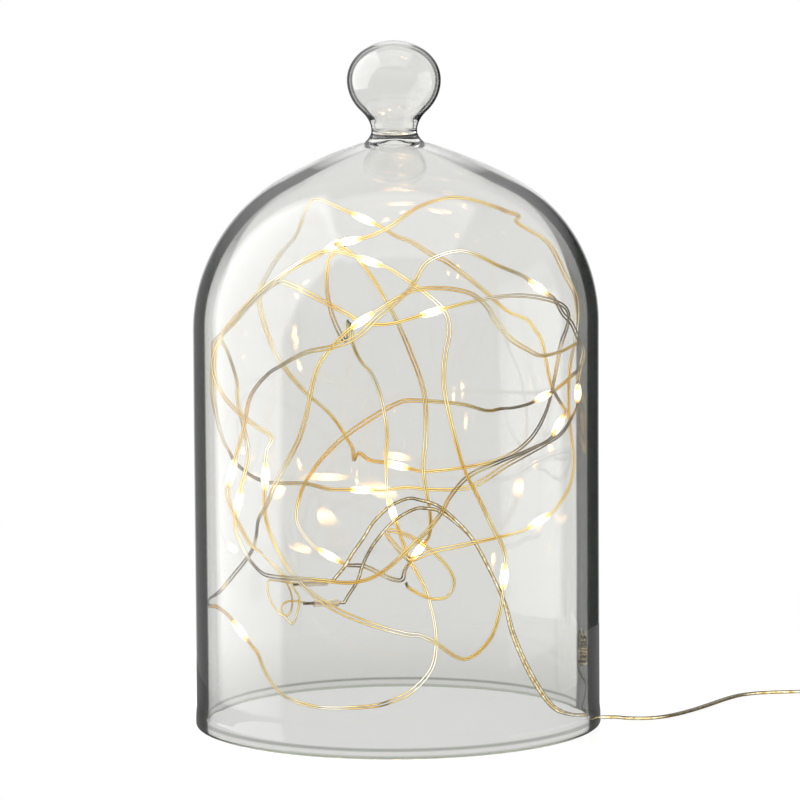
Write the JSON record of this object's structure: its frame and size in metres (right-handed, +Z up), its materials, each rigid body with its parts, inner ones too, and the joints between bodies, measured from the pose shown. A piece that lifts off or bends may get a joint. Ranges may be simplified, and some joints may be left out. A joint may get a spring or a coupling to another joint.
{
  "type": "glass cloche light",
  "caption": "Clear blown-glass cloche with a hollow knob over a loose tangle of gold fairy wire with bright resin drops, fed by a clear flat lead.",
  "frame": {"origin": "middle of the rim's ground face, on the table", "axes": "+Z up along the cloche's axis, -Y to the front as pictured, +X to the side where the lead leaves"},
  "size_m": [0.3103, 0.1937, 0.2793],
  "materials": {
    "clear_glass": "polished, clear",
    "clear_resin": "clear resin, lit warm white",
    "fairy_wire": "bright lacquered wire",
    "clear_lead": "clear flexible plastic over bright strands",
    "white_plastic": "satin moulding",
    "pin_metal": "plated",
    "board_resin": "matt",
    "transformer_core": "varnished"
  },
  "bodies": {
    "light_string": {"adapter_back_shell": "white_plastic", "adapter_circuit_board": "board_resin", "adapter_front_shell": "white_plastic", "adapter_pin_a": "pin_metal", "adapter_pin_b": "pin_metal", "adapter_strain_relief": "white_plastic", "adapter_transformer": "transformer_core", "coil_tie": "white_plastic", "lead_coil": "clear_lead", "lead_core_back": "clear_lead", "lead_core_front": "clear_lead", "led_drop_01": "clear_resin", "led_drop_02": "clear_resin", "led_drop_03": "clear_resin", "led_drop_04": "clear_resin", "led_drop_05": "clear_resin", "led_drop_06": "clear_resin", "led_drop_07": "clear_resin", "led_drop_08": "clear_resin", "led_drop_09": "clear_resin", "led_drop_10": "clear_resin", "led_drop_11": "clear_resin", "led_drop_12": "clear_resin", "led_drop_13": "clear_resin", "led_drop_14": "clear_resin", "led_drop_15": "clear_resin", "led_drop_16": "clear_resin", "led_drop_17": "clear_resin", "led_drop_18": "clear_resin", "led_drop_19": "clear_resin", "led_drop_20": "clear_resin", "led_drop_21": "clear_resin", "outer_lead": "clear_lead", "splice_sleeve_lower": "clear_lead", "splice_sleeve_upper": "clear_lead", "wire_01": "fairy_wire", "wire_02": "fairy_wire", "wire_03": "fairy_wire", "wire_04": "fairy_wire", "wire_05": "fairy_wire", "wire_06": "fairy_wire", "wire_07": "fairy_wire", "wire_08": "fairy_wire", "wire_09": "fairy_wire", "wire_10": "fairy_wire", "wire_11": "fairy_wire", "wire_12": "fairy_wire", "wire_13": "fairy_wire", "wire_14": "fairy_wire", "wire_15": "fairy_wire", "wire_16": "fairy_wire", "wire_17": "fairy_wire", "wire_18": "fairy_wire", "wire_19": "fairy_wire", "wire_20": "fairy_wire", "wire_21": "fairy_wire", "wire_tail_lower": "fairy_wire", "wire_tail_upper": "fairy_wire"},
    "cloche": {"cloche_dome": "clear_glass", "cloche_knob": "clear_glass"}
  },
  "joints": [
    {"name": "cloche_lift", "type": "slide", "parent": "light_string", "child": "cloche", "axis": [0, 0, 1], "range_m": [0, 0.3]}
  ]
}
